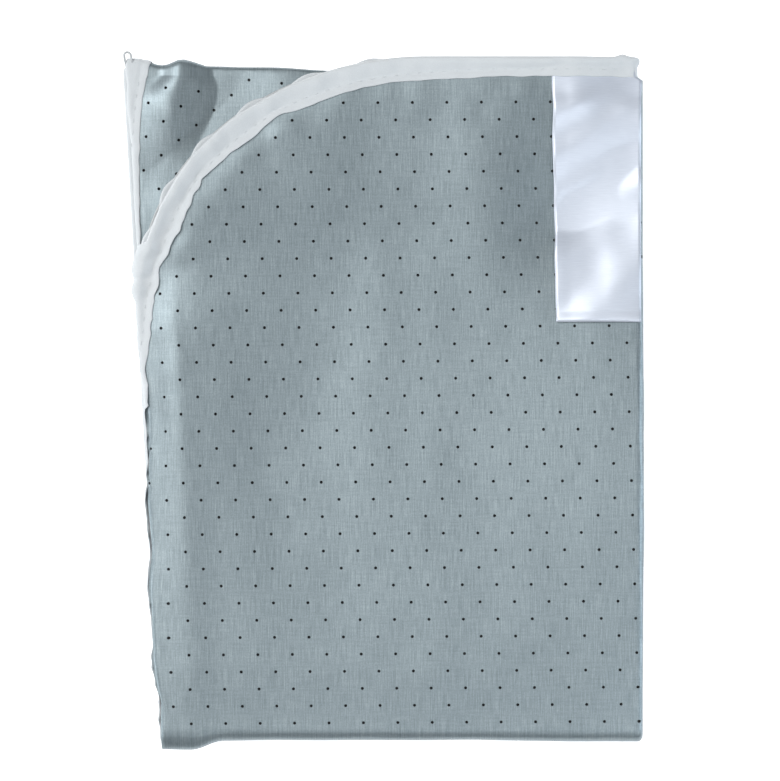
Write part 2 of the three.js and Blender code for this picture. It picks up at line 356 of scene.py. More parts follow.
# The cross folds aren't even: fuller at one corner, tighter at the other
fullness = {  # amount, from x, to x
    "tail": [(0.62, -0.069, -0.082)],
    "rear": [(0.46, -0.096, -0.104), (-0.5, -0.080, -0.02)],
}
sharpFold = 0.45  # power that presses the rear panel's fold sharper


def foldFullness(name, x):
    return 1 + sum(amount * ease(start, end, x) for amount, start, end in fullness.get(name, []))


# The top right corner of the pile is drawn in by the seam of the end
endCorner = {"pull": 3.0 * mm, "span": (0.1360, 0.1374), "girth": (16 * mm, 2 * mm)}


def cornerPull(along):
    return endCorner["pull"] * ease(*endCorner["span"], along)


# Folds a point of the flat cover round the lengthwise fold, and round the cross fold to the panel below
def place(name, along, girth, depth, padding=False):
    panel = panels[name]
    halving = clamp(girth / foldBend, -1, 1) * quarterTurn
    reach = max(abs(girth) - foldBend, 0)
    reach, depth = dress(name, along, girth, reach, depth, padding)
    x = foldAxis + depth * math.cos(halving) - reach
    x -= cornerPull(along) * ease(*endCorner["girth"], abs(girth))
    lift = depth * math.sin(halving)
    middle = layers["face"] + panel["level"] * layers["pitch"]
    bend = bendOf(name)
    past = panel["roll"] * (along - bend)
    if past <= 0:
        return Vector((x, along, middle + lift))
    angle = past / crossBend * quarterTurn
    radius = layers["pitch"] / 2 + lift
    outwards = math.sin(angle)
    upwards = math.cos(angle)
    if name == "rear" and upwards > 0:
        outwards = outwards ** sharpFold
        upwards = upwards ** sharpFold
    y = bend + panel["roll"] * radius * outwards * foldFullness(name, x)
    return Vector((x, y, middle - layers["pitch"] / 2 + radius * upwards))


# Rows across a cross fold, close on both sides of its middle
rollAngles = [0, 17, 34, 51, 68, 85, 95, 112, 129, 146, 163, 180]


def rollAlongs(name):
    roll = panels[name]["roll"]
    return [bendOf(name) + roll * angle / 90 * crossBend for angle in rollAngles]


def linkMesh(name, bm, material):
    mesh = bpy.data.meshes.new(name)
    bm.to_mesh(mesh)
    bm.free()
    mesh.materials.append(material)
    thing = bpy.data.objects.new(name, mesh)
    scene.collection.objects.link(thing)
    return thing


def makePiece(name, bm, material, thick=0):
    piece = linkMesh(name, bm, material)
    polygons = piece.data.polygons
    polygons.foreach_set("use_smooth", [True] * len(polygons))
    if thick > 0:
        wall = piece.modifiers.new("thickness", "SOLIDIFY")
        wall.thickness = thick
        wall.offset = -1
        wall.use_rim = True
    return piece


def closeTube(bm):
    bmesh.ops.remove_doubles(bm, verts=bm.verts[:], dist=weld)
    bmesh.ops.holes_fill(bm, edges=[e for e in bm.edges if e.is_boundary], sides=0)
    bmesh.ops.recalc_face_normals(bm, faces=bm.faces[:])


def nodeOf(name, kind, leafName):
    return "_".join(part for part in (name, kind, leafName.lower()) if part)


def hangOn(piece, name):  # a panel without a roll hangs on its own body; a rolled panel is baked in place on no body
    panel = panels[name]
    if panel["roll"] == 0:
        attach(piece, panel["body"])
        return
    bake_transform(piece)


# Materials
def newMaterial(name):
    material = bpy.data.materials.new(name)
    material.use_nodes = True
    return material, material.node_tree, material.node_tree.nodes["Principled BSDF"]


def setInputs(node, values):
    for socket, amount in values.items():
        node.inputs[socket].default_value = amount


def grain(tree, source, scale, detail, rough):  # noise on the flat pattern (UV) or on Object coordinates
    mapping = tree.nodes.new("ShaderNodeMapping")
    setInputs(mapping, {"Scale": scale})
    coords = tree.nodes.new("ShaderNodeUVMap" if source == "UV" else "ShaderNodeTexCoord")
    if source == "UV":
        coords.uv_map = "flat"
    tree.links.new(coords.outputs[source], mapping.inputs["Vector"])
    texture = tree.nodes.new("ShaderNodeTexNoise")
    setInputs(texture, {"Scale": 1, "Detail": detail, "Roughness": rough})
    tree.links.new(mapping.outputs["Vector"], texture.inputs["Vector"])
    return texture.outputs["Fac"]


def addShare(tree, total, height, share):
    node = tree.nodes.new("ShaderNodeMath")
    node.operation = "MULTIPLY_ADD"
    tree.links.new(height, node.inputs[0])
    node.inputs[1].default_value = share
    node.inputs[2].default_value = 0
    if total is not None:
        tree.links.new(total, node.inputs[2])
    return node.outputs[0]


def colourBy(tree, shader, factor, stops):
    node = tree.nodes.new("ShaderNodeValToRGB")
    elements = node.color_ramp.elements
    while len(elements) < len(stops):
        elements.new(0.5)
    for element, (position, colour) in zip(elements, stops):
        element.position = position
        element.color = (*colour, 1)
    tree.links.new(factor, node.inputs["Fac"])
    tree.links.new(node.outputs["Color"], shader.inputs["Base Color"])


def addBump(tree, shader, height, strength, distance):
    node = tree.nodes.new("ShaderNodeBump")
    setInputs(node, {"Strength": strength, "Distance": distance})
    tree.links.new(height, node.inputs["Height"])
    tree.links.new(node.outputs["Normal"], shader.inputs["Normal"])


# A grain is share, scale, detail, roughness; a bump is number of grains, strength, distance
finishes = {
    "silverCloth": {  # streaks, weft, flecks and pale patches
        "grains": [(0.5, (2100, 95, 1), 4, 0.65), (0.15, (90, 1000, 1), 3, 0.6),
                   (0.25, (1500, 1500, 1), 2, 0.7), (0.1, (22, 14, 1), 2, 0.5)],
        "colours": [(0.36, (0.165, 0.206, 0.224)), (0.5, (0.232, 0.28, 0.302)), (0.64, (0.315, 0.37, 0.395))],
        "surface": {"Metallic": 0.62, "Roughness": 0.44}, "bump": (4, 0.25, 0.0004),
    },
    "whiteTape": {  # threads and patches
        "grains": [(0.6, (1700, 1700, 1), 2, 0.6), (0.4, (120, 120, 1), 3, 0.6)],
        "colours": [(0.3, (0.57, 0.60, 0.62)), (0.7, (0.64, 0.67, 0.69))],
        "surface": {"Roughness": 0.85, "Sheen Weight": 0.15}, "bump": (1, 0.2, 0.0005),
    },
    # near-black pad: where it shows through the holes of the cloth, its colour is painted shade for the holes
    "holeShadeFelt": {
        "grains": [(1, (900, 900, 1), 4, 0.7)],
        "colours": [(0.3, (0.012, 0.013, 0.014)), (0.7, (0.035, 0.036, 0.038))],
        "surface": {"Roughness": 0.95}, "bump": (1, 0.5, 0.0006),
    },
    "whiteCord": {
        "source": "Object", "grains": [(1, (1800, 1800, 1800), 2, 0.6)],
        "colours": [(0.3, (0.40, 0.42, 0.43)), (0.7, (0.56, 0.58, 0.59))],
        "surface": {"Roughness": 0.8}, "bump": (1, 0.4, 0.0004),
    },
    "labelSatin": {
        "grains": [(1, (150, 3000, 1), 2, 0.6)],
        "colours": [(0.3, (0.60, 0.645, 0.73)), (0.7, (0.66, 0.705, 0.79))],
        "surface": {"Metallic": 0.42, "Roughness": 0.42}, "bump": (1, 0.12, 0.0002),
    },
}


def makeFinish(name):
    finish = finishes[name]
    material, tree, shader = newMaterial(name)
    source = finish.get("source", "UV")
    totals = [None]
    for share, *look in finish["grains"]:
        totals.append(addShare(tree, totals[-1], grain(tree, source, *look), share))
    colourBy(tree, shader, totals[-1], finish["colours"])
    setInputs(shader, finish["surface"])
    bumpGrains, *bump = finish["bump"]
    addBump(tree, shader, totals[bumpGrains], *bump)
    return material


silver, tape, felt, cord, satin = [makeFinish(name) for name in finishes]
print("materials made")

# Cloth: a grid laid on the rows of holes, trimmed to the panel and folded
cloth = {
    "halfWidth": 0.245,  # half of the flat grid that a panel is trimmed from
    "halfLength": 0.195,
    "cutHalf": 215.6 * mm,  # least half width of the sheet that a panel is cut from, and its length
    "cutLength": 0.31,
    "fineCorner": ((-0.108, 0.096), (-0.064, 0.140)),  # smaller cells round the rear panel's buckle
    "fineCuts": 2,
}
plainRows = {"row": (14.8 * mm, 0), "column": (0, -14.8 * mm)}
holes = {
    "radius": 0.68 * mm,
    "spacing": 14.8 * mm,
    "edge": 12.5 * mm,  # no hole nearer to the edge than the binding
    "roll": 1.0 * mm,  # nor on an edge that is rolled under
    "rollShare": 0.57,  # a cross fold draws its outer leaf out, so holes start shorter there
    "buckleReach": 0.194,  # none where the buckle meets the fold
    "buckleHalf": 0.018,
    "buckleBelow": 2 * mm,
    "tail": {"at": (-0.04373, 0.03686), "row": (14.8 * mm, 0.085 * mm), "column": (0.477 * mm, -14.79 * mm)},
    "rear": {"at": (-0.1011, 0.1263), "row": (14.1 * mm, -1.5 * mm), "column": (-1.0 * mm, -14.5 * mm)},
    "fore": {"at": (-0.040, 0.030), **plainRows},
    "nose": {"at": (-0.036, 0.033), **plainRows},
}


def inRoll(name, along):
    return panels[name]["roll"] * (along - bendOf(name)) > 0


def flatInside(name, flat):
    leaf = 1 if flat.x >= 0 else -1
    reach = max(abs(flat.x) - foldBend, 0)
    inside, outReach, outAlong = outline(name, leaf, flat.y, reach)
    return leaf, inside + tuckAt(name, leaf, flat.y), outReach, outAlong


def cutAcross(bm, at, way, clearOuter=False):
    geometry = bm.verts[:] + bm.edges[:] + bm.faces[:]
    bmesh.ops.bisect_plane(bm, geom=geometry, dist=1e-6, plane_co=at, plane_no=way, clear_outer=clearOuter)


# Cuts a flat grid to the panel: rows across its cross fold and its lengthwise fold, and the edge moved in
def trimFlat(bm, name, inset, cellSize):
    panel = panels[name]
    roll = panel["roll"]
    if roll != 0:
        alongs = rollAlongs(name)
        cutAcross(bm, (0, alongs[-1], 0), (0, roll, 0), True)
        for along in alongs[:-1]:
            cutAcross(bm, (0, along, 0), (0, roll, 0))
    farEnd = bottomBend if roll >= 0 else topBend
    if "end" not in panel or roll == 0:
        cutAcross(bm, (0, farEnd, 0), (0, -1 if roll >= 0 else 1, 0), True)
    outside = []
    for face in bm.faces:
        if all(flatInside(name, v.co)[1] < inset - weld for v in face.verts):
            outside.append(face)
    bmesh.ops.delete(bm, geom=outside, context="FACES")
    for step in range(-3, 4):
        cutAcross(bm, (step / 3 * foldBend, 0, 0), (1, 0, 0))
    for v in bm.verts:
        leaf, inside, outReach, outAlong = flatInside(name, v.co)
        if inside < inset:
            v.co.x -= leaf * outReach * (inset - inside)
            v.co.y -= outAlong * (inset - inside)
    bmesh.ops.remove_doubles(bm, verts=bm.verts[:], dist=cellSize * 0.02)


def storeFlat(bm):
    layer = bm.loops.layers.uv.new("flat")
    for face in bm.faces:
        for corner in face.loops:
            corner[layer].uv = corner.vert.co.xy


def layGrid(bm, name, cells):  # the hole lattice, with its cells between the holes
    lattice = holes[name]
    x, y = lattice["at"]
    start = Vector((foldBend + foldAxis - x, y, 0))
    row = Vector((-lattice["row"][0], lattice["row"][1], 0))
    column = Vector((-lattice["column"][0], lattice["column"][1], 0))
    firstRow = math.ceil((cloth["halfWidth"] - start.x) / row.length) * cells
    firstColumn = math.ceil((cloth["halfLength"] - start.y) / column.length) * cells
    across = math.ceil(2 * cloth["halfWidth"] / row.length + 1) * cells
    along = math.ceil(2 * cloth["halfLength"] / column.length + 1) * cells
    bmesh.ops.create_grid(bm, x_segments=across, y_segments=along, size=1)
    lattices = ((0, 0), (cells // 2, cells // 2))  # staggered rows
    onLattice = []
    for v in bm.verts:
        i, j = gridPlace(v.co, across, along)
        i -= firstRow
        j -= firstColumn
        v.co = start + row * (i / cells) + column * (j / cells)
        if (i % cells, j % cells) in lattices:
            onLattice.append(v)
    return onLattice


def isPunched(name, flat):
    leaf = 1 if flat.x >= 0 else -1
    if leaf < 0 and inRoll(name, flat.y):  # the inner leaf of a cross fold
        return False
    reach = abs(flat.x) - foldBend
    aside = abs(reach - holes["buckleReach"])
    if name == "rear" and flat.y > topBend - holes["buckleBelow"] and aside < holes["buckleHalf"]:
        return False
    onTop = outline(name, leaf, flat.y, reach)[0] > holes["roll"]
    return onTop and flatInside(name, flat)[1] > holes["edge"]


def punch(bm, name, punched):
    corners = {}  # in a fixed order, so that every run gives the same mesh
    for v in punched:
        beside = [e.other_vert(v) for e in v.link_edges]
        for face in v.link_faces:
            corners.update((w, True) for w in face.verts if w is not v and w not in beside)
    bmesh.ops.connect_verts(bm, verts=punched + list(corners))
    bmesh.ops.bevel(bm, geom=punched, offset=holes["radius"], offset_type="OFFSET", affect="VERTICES",
                    segments=1, profile=0.5, material=-1)
    rings = [f for f in bm.faces if len(f.verts) == 8]
    for ring in rings:
        middle = ring.calc_center_median()
        if middle.x > 0 and inRoll(name, middle.y):
            bmesh.ops.scale(bm, vec=(1, holes["rollShare"], 1), space=Matrix.Translation(-middle),
                            verts=ring.verts[:])
    bmesh.ops.delete(bm, geom=rings, context="FACES_ONLY")


def clothPanel(name):
    panel = panels[name]
    bm = bmesh.new()
    lattice = layGrid(bm, name, panel["cells"])
    punch(bm, name, [v for v in lattice if isPunched(name, v.co)])
    trimFlat(bm, name, plan["clothInset"], holes["spacing"] / panel["cells"])
    if name == "rear":
        (lowX, lowY), (highX, highY) = cloth["fineCorner"]
        fine = [v for v in bm.verts if lowY < v.co.y < highY
                and lowX < foldAxis + foldBend - v.co.x < highX]
        around = [e for e in bm.edges if all(v in fine for v in e.verts)]
        bmesh.ops.subdivide_edges(bm, edges=around, cuts=cloth["fineCuts"], use_grid_fill=True)
    storeFlat(bm)
    flatArea = sum(face.calc_area() for face in bm.faces)
    for v in bm.verts:
        v.co = place(name, v.co.y, v.co.x, layers["clothOuter"])
    bmesh.ops.reverse_faces(bm, faces=bm.faces[:])
    for edge in bm.edges:
        edge.smooth = not edge.is_boundary
    piece = makePiece(name + "Cloth", bm, silver, layers["clothThick"])
    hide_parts(name + "_cloth")
    hangOn(piece, name)
    print("cloth", name, len(piece.data.polygons), "faces, flat area", round(flatArea, 4))


for panelName in panels:
    clothPanel(panelName)

# Pads: thick felt inside the cloth, thinned away where it creases; near-black, so that through the holes they
# paint the shade in them
pad = {"cells": (64, 48), "halfWidth": 0.24, "halfLength": 0.16, "cellSize": 6 * mm,
       "creaseRow": 4, "fill": 0.2}


def padPanel(name):
    bm = bmesh.new()
    bmesh.ops.create_grid(bm, x_segments=pad["cells"][0], y_segments=pad["cells"][1], size=1)
    bmesh.ops.scale(bm, vec=(pad["halfWidth"], pad["halfLength"], 1), verts=bm.verts[:])
    trimFlat(bm, name, plan["padInset"], pad["cellSize"])
    if panels[name]["roll"] != 0:
        rows = rollAlongs(name)
        low, high = sorted((rows[pad["creaseRow"]], rows[-1 - pad["creaseRow"]]))
        creased = [f for f in bm.faces if low < f.calc_center_median().y < high]
        bmesh.ops.delete(bm, geom=creased, context="FACES")
    storeFlat(bm)
    for v in bm.verts:
        v.co = place(name, v.co.y, v.co.x, layers["padOuter"], True)
    bmesh.ops.reverse_faces(bm, faces=bm.faces[:])
    piece = makePiece(name + "Pad", bm, felt, layers["padThick"])
    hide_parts(name + "_pad")
    hangOn(piece, name)


for panelName in panels:
    padPanel(panelName)
print("pads made")

# A station is a point of the flat edge, with the way out of the cloth there
edgeStation = namedtuple("edgeStation", "along girth outAlong outGirth leaf")
overFold = (0.66, 0.33, 0, -0.33, -0.66)  # stations of an end across the lengthwise fold


# Points along the edge of a leaf: along, reach, and the way out
def leafStations(name, leaf, step):
    panel = panels[name]
    low = bottomBend
    high = topBend
    if "end" in panel:
        end = panel["end"]
        slip = end["slip"] if leaf < 0 else 0
        high = end["tip"] - end["rise"] + slip
    alongs = []
    if panel["roll"] < 0:
        alongs += reversed(rollAlongs(name)[1:])
    count = round((high - low) / step)
    alongs += [mix(low, high, i / max(count, 1)) for i in range(count + 1)]
    if panel["roll"] > 0:
        alongs += rollAlongs(name)[1:]
    points = []
    for along in alongs:
        points.append((along, outline(name, leaf, min(along, high - 0.001 * mm), 0)[0], 1, 0))
    if "end" in panel:
        across = end["across"] - slip
        rise = end["rise"] - slip
        count = round(quarterTurn * math.sqrt((across ** 2 + rise ** 2) / 2) / step)
        for i in range(1, count + 1):
            angle = quarterTurn * i / count
            outReach = math.cos(angle) / across
            outAlong = math.sin(angle) / rise
            size = math.hypot(outReach, outAlong)
            points.append((high + rise * math.sin(angle), end["side"] - across + across * math.cos(angle),
                           outReach / size, outAlong / size))
        straight = end["side"] - across
        count = max(round(straight / step), 1)
        points += [(end["tip"], straight * (1 - i / count), 0, 1) for i in range(1, count + 1)]
    return points


def leafEdge(name, leaf, step):  # out to the edge of the cloth that is tucked under
    rows = []
    for along, reach, outReach, outAlong in leafStations(name, leaf, step):
        spare = tuckAt(name, leaf, along)
        girth = leaf * (foldBend + reach + spare * outReach)
        rows.append(edgeStation(along + spare * outAlong, girth, outAlong, leaf * outReach, leaf))
    return rows


def edgeStations(name, leaf, step):  # leaf 0 is a whole end: up one leaf, over the fold and down the other
    if leaf != 0:
        return leafEdge(name, leaf, step)
    tip = panels[name]["end"]["tip"]
    over = [edgeStation(tip, share * foldBend, 1, 0, 1 if share >= 0 else -1) for share in overFold]
    return leafEdge(name, 1, step) + over + leafEdge(name, -1, step)[::-1]


def pathLengths(stations):
    lengths = [0]
    for before, after in zip(stations, stations[1:]):
        lengths.append(lengths[-1] + math.hypot(after.along - before.along, after.girth - before.girth))
    return lengths


def fromEdge(name, station, inwards, depth):
    along = station.along - inwards * station.outAlong
    return place(name, along, station.girth - inwards * station.outGirth, depth)


# Binding: tape over the edge, high at the casing, drawn down at the seam, with a free rim inside it
binding = {
    "cutWidth": 24 * mm,
    "step": 3.5 * mm, "fineStep": 1.5 * mm,
    "armSteps": 18, "casingSteps": 8, "underSteps": 4,
    "narrow": 2.3 * mm, "narrowSpan": (115 * mm, 60 * mm),  # narrower at the straight end
    "gather": 0.3, "rearGather": 0.45, "curveGather": 0.85,
    "rim": 3.2 * mm,  # free rim inside the seam
    "seamDepth": 2.0 * mm, "seamHalf": 0.9 * mm,
    "crown": 2.5 * mm,  # rise of the casing over the plain face
    "crownPlain": 0.3, "crownFrom": 2 * mm, "crownTurn": 1.2 * math.pi,
    "pucker": 2.2 * mm, "puckers": [(1, 0.3, 8.5 * mm, 1.7), (0.5, 0.8, 4.5 * mm, 4.4)],
    "rimLift": 1.3 * mm, "rimPlain": 0.6, "rimWaves": [(0.7, 0.1, 7.5 * mm, 9.2)],
    "clear": 0.15 * mm,  # least height over the cloth, and the room for the label's end
    "labelRoom": 0.6 * mm, "labelGirth": (-3 * mm, 43 * mm),
    "scallop": 2.0 * mm,  # notches of the inner edge, every so many degrees of the corner
    "notchFirst": 9, "notchStep": 24.4, "notchPower": 0.7, "notchMiddle": 0.75,
    "frill": 2.4 * mm,  # smaller waves of the inner edge
    "frills": [(0.6, 0.5, 11 * mm, 7.3), (0.5, 0.5, 6 * mm, 2.9)],
    "straightFrills": [(1, 0.5, 8.5 * mm, 5.2)], "straightFrill": 0.6, "straightMiddle": 0.3,
    "outerWave": 1.2 * mm, "outerWaves": [(1, 0.9, 15 * mm, 2.6)], "outerReach": 8 * mm,
    "nub": 1.2 * mm, "nubGirth": 7.7 * mm, "nubHalf": 3.5 * mm,  # the end's seam at the lengthwise fold
    "peep": 2.8 * mm,  # waves that let the lower leaf's edge show
    "peepOut": 0.9 * mm, "peepFirst": 39.5, "peepStep": 13.6, "peepFade": 10,
    "underFrom": 0.1 * mm, "underRise": 1.05 * mm,
}


def bindingSection():
    width = plan["bindingWidth"]
    radius = layers["casingRadius"]
    rows = []
    for i in range(binding["armSteps"] + 1):
        rows.append(("arm", 1 + (radius / width - 1) * i / binding["armSteps"]))
    for i in range(1, binding["casingSteps"] + 1):
        rows.append(("casing", quarterTurn + math.pi * i / binding["casingSteps"]))
    for i in range(1, binding["underSteps"] + 1):
        rows.append(("under", radius + (width - radius) * i / binding["underSteps"]))
    return rows


def shows(name, station):  # a leaf with nothing over it
    return station.leaf > 0 and name == "tail"


def gatherAt(name, station):  # how strongly the tape is gathered here
    if shows(name, station):
        turned = math.acos(clamp(1 - station.outAlong, -1, 1)) / quarterTurn
        return binding["gather"] + binding["curveGather"] * math.sin(math.pi * clamp(turned, 0, 1))
    if name == "rear" and station.leaf > 0:
        return binding["rearGather"]
    return binding["gather"]


def crownAt(name, station):
    if not shows(name, station):
        return 0
    return binding["crown"] * mix(binding["crownPlain"], 1, gatherAt(name, station))


def tapeWidth(name, station):
    if name != "tail":
        return plan["bindingWidth"]
    return plan["bindingWidth"] - binding["narrow"] * ease(*binding["narrowSpan"], abs(station.girth))


def armDepth(name, station, path, share):
    width = tapeWidth(name, station)
    inwards = share * width
    seam = width - binding["rim"]
    gather = gatherAt(name, station)
    crown = crownAt(name, station) * ease(seam, binding["crownFrom"], inwards)
    drop = (layers["face"] - binding["seamDepth"]) * math.exp(-((inwards - seam) / binding["seamHalf"]) ** 2)
    body = binding["pucker"] * gather * waves(binding["puckers"], path)
    body *= math.sin(math.pi * clamp(inwards / seam, 0, 1))
    rim = binding["rimLift"] * gather * (binding["rimPlain"] + waves(binding["rimWaves"], path))
    rim *= ease(seam, width, inwards)
    if not shows(name, station):
        body = min(body, 0)
        rim = 0
    floor = layers["clothOuter"] + binding["clear"]
    low, high = binding["labelGirth"]
    if name == "tail" and station.outAlong > 0.5 and low < station.girth < high:
        floor += binding["labelRoom"]
    return max(layers["face"] - drop + crown + body + rim, floor)


def cornerAngle(name, station):  # degrees round the corner, or None on the straight edges
    if "end" not in panels[name] or station.outAlong < 0.02 or abs(station.outGirth) < 0.02:
        return None
    end = panels[name]["end"]
    return math.degrees(math.atan2(station.outAlong * end["rise"], abs(station.outGirth) * end["across"]))


def innerEdge(name, station, path):
    shift = binding["frill"] * gatherAt(name, station) * waves(binding["frills"], path)
    angle = cornerAngle(name, station)
    if not shows(name, station):
        return shift
    if angle is None and station.outAlong < 0.5:
        frill = binding["straightFrill"] * abs(waves(binding["straightFrills"], path)) ** 0.5
        shift -= binding["frill"] * (frill - binding["straightMiddle"])
    if angle is not None:
        notch = abs(math.sin(math.pi * (angle - binding["notchFirst"]) / binding["notchStep"]))
        depth = binding["scallop"] * (notch ** binding["notchPower"] - binding["notchMiddle"])
        shift += depth * math.sin(math.radians(2 * angle)) ** 0.5
    return shift


def onEdge(name, station, path, inwards, depth):  # with the waves of the edge itself
    angle = cornerAngle(name, station)
    if shows(name, station):
        outwards = clamp(station.outAlong, 0, 1)
        wave = binding["outerWave"] * waves(binding["outerWaves"], path) * math.sin(math.pi * outwards)
        nub = math.exp(-((station.girth - binding["nubGirth"]) / binding["nubHalf"]) ** 2) * outwards
        inwards -= (wave + binding["nub"] * nub) * ease(binding["outerReach"], 0, inwards)
    elif name == "tail" and station.leaf < 0 and angle is not None:
        turn = 2 * math.pi * (angle - binding["peepFirst"]) / binding["peepStep"]
        peep = binding["peep"] * (0.5 - 0.5 * math.cos(turn)) - binding["peepOut"]
        inwards += peep * ease(0, binding["peepFade"], angle) * ease(90, 90 - binding["peepFade"], angle)
    return fromEdge(name, station, inwards, depth)


def bindingPoint(name, station, path, row):
    kind, amount = row
    radius = layers["casingRadius"]
    if kind == "casing":
        inwards = radius + radius * math.cos(amount)
        depth = layers["casingMiddle"] + radius * math.sin(amount)
        depth += crownAt(name, station) * ease(binding["crownTurn"], quarterTurn, amount)
    elif kind == "under":
        inwards = amount
        share = (amount - radius) / (plan["bindingWidth"] - radius)
        depth = binding["underFrom"] + binding["underRise"] * share
    else:
        width = tapeWidth(name, station)
        edgeShift = innerEdge(name, station, path) * ease(width - 2 * binding["rim"], width, amount * width)
        inwards = amount * width + edgeShift
        depth = armDepth(name, station, path, amount)
    return onEdge(name, station, path, inwards, depth)


def bindingStrip(name, leaf, leafName):
    fine = name == "tail" or (name == "rear" and leaf > 0)
    stations = edgeStations(name, leaf, binding["fineStep"] if fine else binding["step"])
    paths = pathLengths(stations)
    section = bindingSection()
    bm = bmesh.new()
    long = len(stations) - 1
    wide = len(section) - 1
    bmesh.ops.create_grid(bm, x_segments=long, y_segments=wide, size=1)
    uv = bm.loops.layers.uv.new("flat")
    spread = plan["bindingWidth"] * 2 / wide
    for face in bm.faces:
        for corner in face.loops:
            i, j = gridPlace(corner.vert.co, long, wide)
            corner[uv].uv = (paths[i], j * spread)
    for v in bm.verts:
        i, j = gridPlace(v.co, long, wide)
        v.co = bindingPoint(name, stations[i], paths[i], section[j])
    if leaf < 0:
        bmesh.ops.reverse_faces(bm, faces=bm.faces[:])
    piece = makePiece(name + "Binding" + leafName, bm, tape, layers["tapeThick"])
    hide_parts(nodeOf(name, "binding", leafName))
    hangOn(piece, name)
    return stations, paths


# Seam thread: short stitches along the tape, on the face of the leaf
stitch = {"pitch": 5.3 * mm, "half": 1.0 * mm, "overlap": 1.1, "thick": 0.2 * mm, "proud": 0.05 * mm,
          "aside": 0.4 * mm, "least": 0.3 * mm, "rollClear": 1.5 * mm, "foldClear": 4 * foldBend}


def onSeam(name, stations, paths, low, path, aside):  # a point of the seam, searched from station low on
    while low + 2 < len(paths) and paths[low + 1] < path:
        low += 1
    share = clamp((path - paths[low]) / max(paths[low + 1] - paths[low], 1e-9), 0, 1)
    before = stations[low]
    after = stations[low + 1]
    station = edgeStation(*(mix(a, b, share) for a, b in zip(before[:4], after[:4])), before.leaf)
    width = tapeWidth(name, station)
    inwards = width - binding["rim"] + aside
    depth = armDepth(name, station, path, inwards / width) + stitch["proud"]
    return onEdge(name, station, path, inwards, depth)


def stitchLine(name, leafName, stations, paths):
    roll = panels[name]["roll"]
    half = stitch["half"]
    bm = bmesh.new()
    at = stitch["pitch"]
    low = 0
    while at < paths[-1] - stitch["pitch"]:
        while low + 2 < len(paths) and paths[low + 1] < at - 2 * half:
            low += 1
        nearFold = abs(stations[low].girth) < stitch["foldClear"]
        nearRoll = roll != 0 and roll * (stations[low].along - bendOf(name)) > -stitch["rollClear"]
        if not nearFold and not nearRoll:
            spots = ((at - half, 0), (at + half, 0), (at, stitch["aside"]), (at, -stitch["aside"]))
            first, last, left, right = [onSeam(name, stations, paths, low, *spot) for spot in spots]
            run = last - first
            up = run.cross(left - right)
            if run.length > stitch["least"] and up.length > 1e-9:
                run.normalize()
                up.normalize()
                turn = Matrix((run, up.cross(run), up)).transposed().to_4x4()
                size = Matrix.Diagonal((half * stitch["overlap"], stitch["thick"], stitch["thick"], 1))
                spot = Matrix.Translation((first + last) / 2) @ turn @ size
                bmesh.ops.create_icosphere(bm, subdivisions=1, radius=1, matrix=spot)
        at += stitch["pitch"]
    piece = makePiece(name + "Stitching" + leafName, bm, tape)
    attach(piece, panels[name]["body"])


# Drawcord in the casing, on every second station
cordSides = 8


def drawcord(name, leafName, stations):
    kept = stations[::2] if len(stations) % 2 else stations[::2] + stations[-1:]
    bm = bmesh.new()
    long = len(kept) - 1
    bmesh.ops.create_grid(bm, x_segments=long, y_segments=cordSides, size=1)
    for v in bm.verts:
        i, j = gridPlace(v.co, long, cordSides)
        angle = 2 * math.pi * j / cordSides
        inwards = layers["casingRadius"] + layers["cordRadius"] * math.cos(angle)
        depth = layers["casingMiddle"] + layers["cordRadius"] * math.sin(angle)
        v.co = fromEdge(name, kept[i], inwards, depth)
    closeTube(bm)
    piece = makePiece(name + "Drawcord" + leafName, bm, cord)
    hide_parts(nodeOf(name, "drawcord", leafName))
    hangOn(piece, name)


edges = [("nose", 0, ""), ("fore", 1, "Upper"), ("fore", -1, "Lower"), ("rear", 1, "Upper"),
         ("rear", -1, "Lower"), ("tail", 0, "")]
for panelName, side, sideName in edges:
    edgeLine, edgePaths = bindingStrip(panelName, side, sideName)
    stitchLine(panelName, sideName, edgeLine, edgePaths)
    drawcord(panelName, sideName, edgeLine)
print("bindings, stitching and drawcord made")

# Slack loop of the drawcord at the middle fold
loop = {"left": -0.1110, "right": -0.1081, "foot": 0.1405, "crown": 0.1482, "low": 0.0128, "height": 0.01555,
        "radius": 0.5 * mm, "lean": 0.7 * mm, "leftIn": 0.4 * mm, "rightIn": 0.5 * mm,
        "legSteps": 6, "arcSteps": 10, "sides": 12}


def loopLeg(x, footShift, half):  # from the casing up to the arc
    steps = loop["legSteps"]
    leg = []
    for i in range(steps):
        y = mix(loop["foot"], loop["crown"] - half, i / steps)
        z = mix(loop["low"], loop["height"], ease(0, steps - 1, i))
        leg.append(Vector((x + footShift * (1 - i / steps), y, z)))
    return leg


def loopPath():
    middleX = (loop["left"] + loop["right"]) / 2
    half = (loop["right"] - loop["left"]) / 2
    path = loopLeg(loop["left"], loop["leftIn"], half)
    for i in range(loop["arcSteps"] + 1):
        angle = math.pi * (1 - i / loop["arcSteps"])
        path.append(Vector((middleX + half * math.cos(angle), loop["crown"] - half + half * math.sin(angle),
                            loop["height"])))
    path += loopLeg(loop["right"], loop["rightIn"], half)[::-1]
    for spot in path:
        spot.x -= loop["lean"] * (spot.y - loop["foot"]) / (loop["crown"] - loop["foot"])
    return path


def cordLoop():
    path = loopPath()
    bm = bmesh.new()
    long = len(path) - 1
    bmesh.ops.create_grid(bm, x_segments=long, y_segments=loop["sides"], size=1)
    up = Vector((0, 0, 1))
    for v in bm.verts:
        i, j = gridPlace(v.co, long, loop["sides"])
        run = (path[min(i + 1, long)] - path[max(i - 1, 0)]).normalized()
        angle = 2 * math.pi * j / loop["sides"]
        v.co = path[i] + loop["radius"] * (run.cross(up) * math.cos(angle) + up * math.sin(angle))
    closeTube(bm)
    piece = makePiece("drawcordLoop", bm, cord)
    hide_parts("drawcord_loop")
    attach(piece, "rear_panel")


cordLoop()

